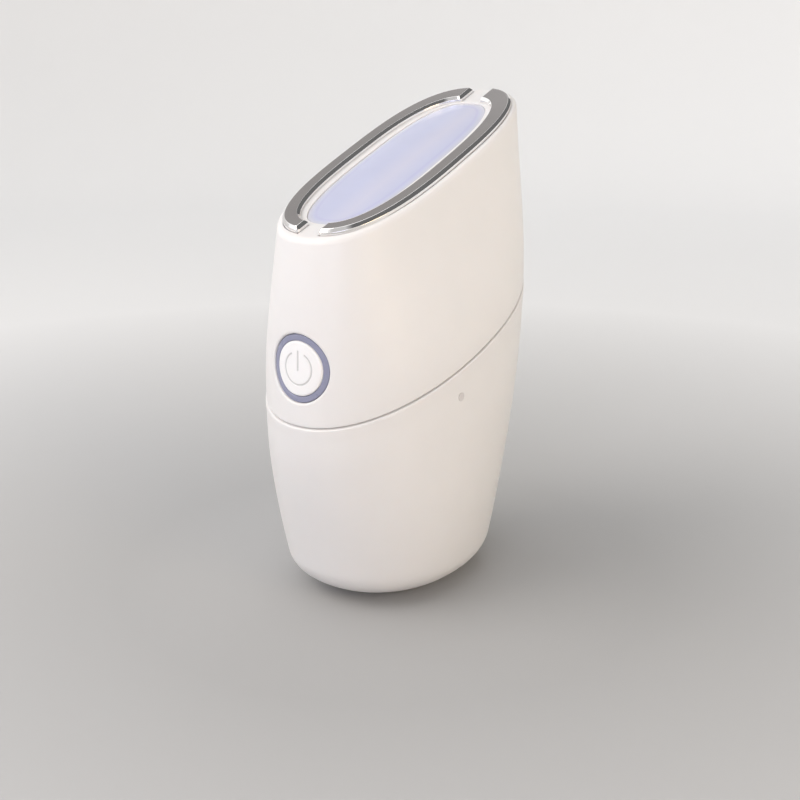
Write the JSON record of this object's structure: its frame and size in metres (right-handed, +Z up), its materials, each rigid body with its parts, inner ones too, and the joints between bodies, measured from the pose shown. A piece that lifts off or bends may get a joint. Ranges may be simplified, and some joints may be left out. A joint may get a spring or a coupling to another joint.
{
  "type": "led photon facial device",
  "caption": "Hand-held facial light device with a slanted oval face, a milky window between two chromed electrodes, and a round power button in a light ring.",
  "frame": {"origin": "on the resting plane under the handle, on the plane of symmetry", "axes": "+Z up from the resting plane to the face, -Y towards the button and the low end of the face, +X to the side with the small indicator"},
  "size_m": [0.0452, 0.0706, 0.1051],
  "materials": {
    "lower_housing": "satin-gloss white moulding",
    "upper_housing": "satin-gloss white moulding",
    "light_window": "milky lavender diffuser",
    "electrode": "polished chrome plating",
    "contact_tabs": "bright",
    "reflector": "gloss white",
    "circuit_board": "solder mask over fibreglass",
    "led": "clear lens on a white body",
    "steel": "bright",
    "steel_can": "drawn and bright",
    "power_button": "satin-gloss white moulding",
    "button_light_ring": "translucent grey-violet",
    "indicator_light_pipe": "translucent grey",
    "black_plastic": "fine matte",
    "switch_plunger": "fine matte",
    "nylon": "fine matte, glass-filled",
    "battery": "shrink sleeve",
    "base_pad": "soft matte"
  },
  "bodies": {
    "housing": {"lower_housing": "lower_housing", "upper_housing": "upper_housing", "light_window": "light_window", "electrode_right": "electrode", "electrode_left": "electrode", "electrode_nuts": "steel", "contact_tabs": "contact_tabs", "reflector": "reflector", "led_board": "circuit_board", "led_chips": "led", "led_board_screws": "steel", "button_light_ring": "button_light_ring", "switch_board": "circuit_board", "tact_switch": "black_plastic", "ring_leds": "led", "switch_board_screws": "steel", "chassis": "nylon", "chassis_screws": "steel", "main_board": "circuit_board", "board_components": "black_plastic", "main_board_screws": "steel", "indicator_led": "led", "indicator_light_pipe": "indicator_light_pipe", "battery": "battery", "vibration_motor": "steel_can", "motor_clip": "nylon", "charge_board": "circuit_board", "charge_port": "steel_can", "port_tongue": "black_plastic", "charge_board_screws": "steel", "base_pad": "base_pad", "base_screws": "steel"},
    "button": {"power_button": "power_button"},
    "plunger": {"switch_plunger": "switch_plunger"},
    "rotor": {"motor_shaft": "steel", "eccentric_weight": "steel"}
  },
  "joints": [
    {"name": "button_press", "type": "slide", "parent": "housing", "child": "button", "axis": [0, 1, 0], "range_m": [0, 0.0003], "stiffness_N_per_m": 4000},
    {"name": "plunger_press", "type": "slide", "parent": "housing", "child": "plunger", "axis": [0, 1, 0], "range_m": [0, 0.0003]},
    {"name": "motor_spin", "type": "hinge", "parent": "housing", "child": "rotor", "pos_m": [0, 0.0025, 0.072], "axis": [1, 0, 0], "continuous": true}
  ],
  "couplings": [
    {"joint": "plunger_press", "follows": "button_press", "ratio": 1}
  ]
}
